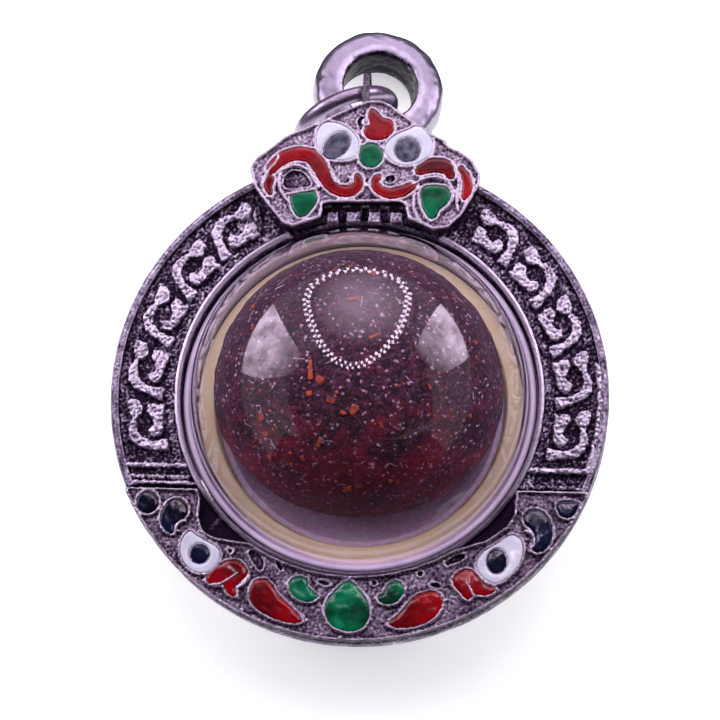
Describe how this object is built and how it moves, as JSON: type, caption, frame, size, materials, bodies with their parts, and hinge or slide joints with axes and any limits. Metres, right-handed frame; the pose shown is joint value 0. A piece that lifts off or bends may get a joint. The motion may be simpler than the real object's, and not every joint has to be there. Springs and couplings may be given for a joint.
{
  "type": "buddhist amulet pendant",
  "caption": "Round silver case with an enamelled mask crest and lower crescent, holding a powder ball in a clear domed capsule, with a jump ring and a thick bail.",
  "frame": {"origin": "centre of the flat back that the pendant lies on", "axes": "+X to the right seen from the front, +Y from the case towards the bail, +Z out of the face through the dome"},
  "size_m": [0.05, 0.0676, 0.0306],
  "materials": {
    "antique_silver": "antique silver plate, worn bright on the edges and dark in the recesses",
    "dark_silver": "oxidised silver plate, near black in the field and bright on the raised work",
    "pale_silver": "polished silver plate with fine scratches",
    "clear_acrylic": "clear, polished, with a faint lavender cast",
    "tan_rubber": "matt tan",
    "powder": "coarse pressed powder with chips and fibres",
    "red_enamel": "glossy poured enamel",
    "green_enamel": "glossy poured enamel",
    "navy_enamel": "glossy poured enamel",
    "white_enamel": "glossy poured enamel",
    "slate_enamel": "satin poured enamel"
  },
  "bodies": {
    "case": {"front_frame": "dark_silver", "crest_plate": "antique_silver", "crescent_plate": "antique_silver", "back_shell": "pale_silver", "back_screw_1": "pale_silver", "back_screw_2": "pale_silver", "back_screw_3": "pale_silver", "back_screw_4": "pale_silver", "clear_dome": "clear_acrylic", "clear_cup": "clear_acrylic", "gasket_ring": "tan_rubber", "powder_ball": "powder", "hanger_eye": "antique_silver", "crest_red_petal": "red_enamel", "crest_green_gem": "green_enamel", "crest_eye_left": "white_enamel", "crest_eye_right": "white_enamel", "crest_iris_left": "slate_enamel", "crest_iris_right": "slate_enamel", "crest_red_scroll_left": "red_enamel", "crest_red_scroll_right": "red_enamel", "crest_red_crescent_left": "red_enamel", "crest_red_crescent_right": "red_enamel", "crest_green_leaf_left": "green_enamel", "crest_green_leaf_right": "green_enamel", "crest_red_spiral_right": "red_enamel", "navy_dot_left": "navy_enamel", "navy_dot_right": "navy_enamel", "navy_comma_left": "navy_enamel", "navy_comma_right": "navy_enamel", "eye_left": "white_enamel", "eye_right": "white_enamel", "pupil_left": "navy_enamel", "pupil_right": "navy_enamel", "red_flame_left": "red_enamel", "red_flame_right": "red_enamel", "red_drop_left": "red_enamel", "red_drop_right": "red_enamel", "green_comma_left": "green_enamel", "green_comma_right": "green_enamel", "green_drop_centre": "green_enamel"},
    "ring": {"jump_ring": "antique_silver"},
    "bail": {"bail": "pale_silver"}
  },
  "joints": [
    {"name": "ring_swing", "type": "hinge", "parent": "case", "child": "ring", "pos_m": [-0.0006, 0.0335, 0.0101], "axis": [1, 0, 0], "range_deg": [-30, 110]},
    {"name": "bail_swing", "type": "hinge", "parent": "ring", "child": "bail", "pos_m": [-0.00294, 0.03203, 0.00593], "axis": [0.3886, -0.9155, 0.1045], "range_deg": [-120, 30]}
  ]
}
